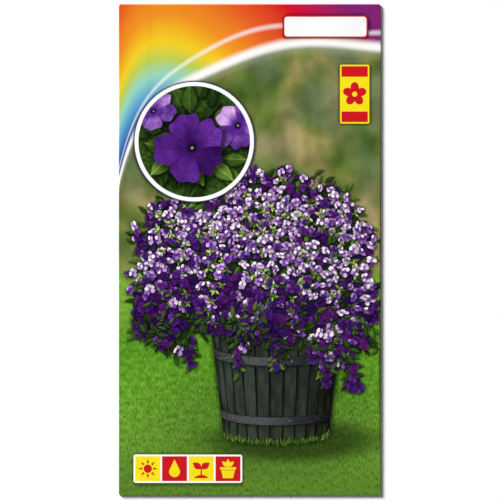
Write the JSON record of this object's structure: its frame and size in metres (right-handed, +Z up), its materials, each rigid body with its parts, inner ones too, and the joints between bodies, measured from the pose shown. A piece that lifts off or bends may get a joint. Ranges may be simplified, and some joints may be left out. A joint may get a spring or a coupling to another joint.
{
  "type": "flower seed packet",
  "caption": "Flat glued paper seed packet with printed front and back, end flaps folded onto the back, and a sealed foil sachet of pelleted seeds inside.",
  "frame": {"origin": "middle of the packet's outline, on the surface that its back lies on", "axes": "+Z up out of the printed front panel, +Y towards the packet's top edge, +X to the right seen from the front"},
  "size_m": [0.08, 0.15, 0.0028],
  "materials": {
    "printed_paper": "gloss",
    "foil_film": "satin",
    "seed_coat": "matte"
  },
  "bodies": {
    "root": {"envelope": "printed_paper", "sachet_back_film": "foil_film", "sachet_front_film": "foil_film", "seed_01": "seed_coat", "seed_02": "seed_coat", "seed_03": "seed_coat", "seed_04": "seed_coat", "seed_05": "seed_coat", "seed_06": "seed_coat", "seed_07": "seed_coat", "seed_08": "seed_coat", "seed_09": "seed_coat", "seed_10": "seed_coat"}
  },
  "joints": []
}
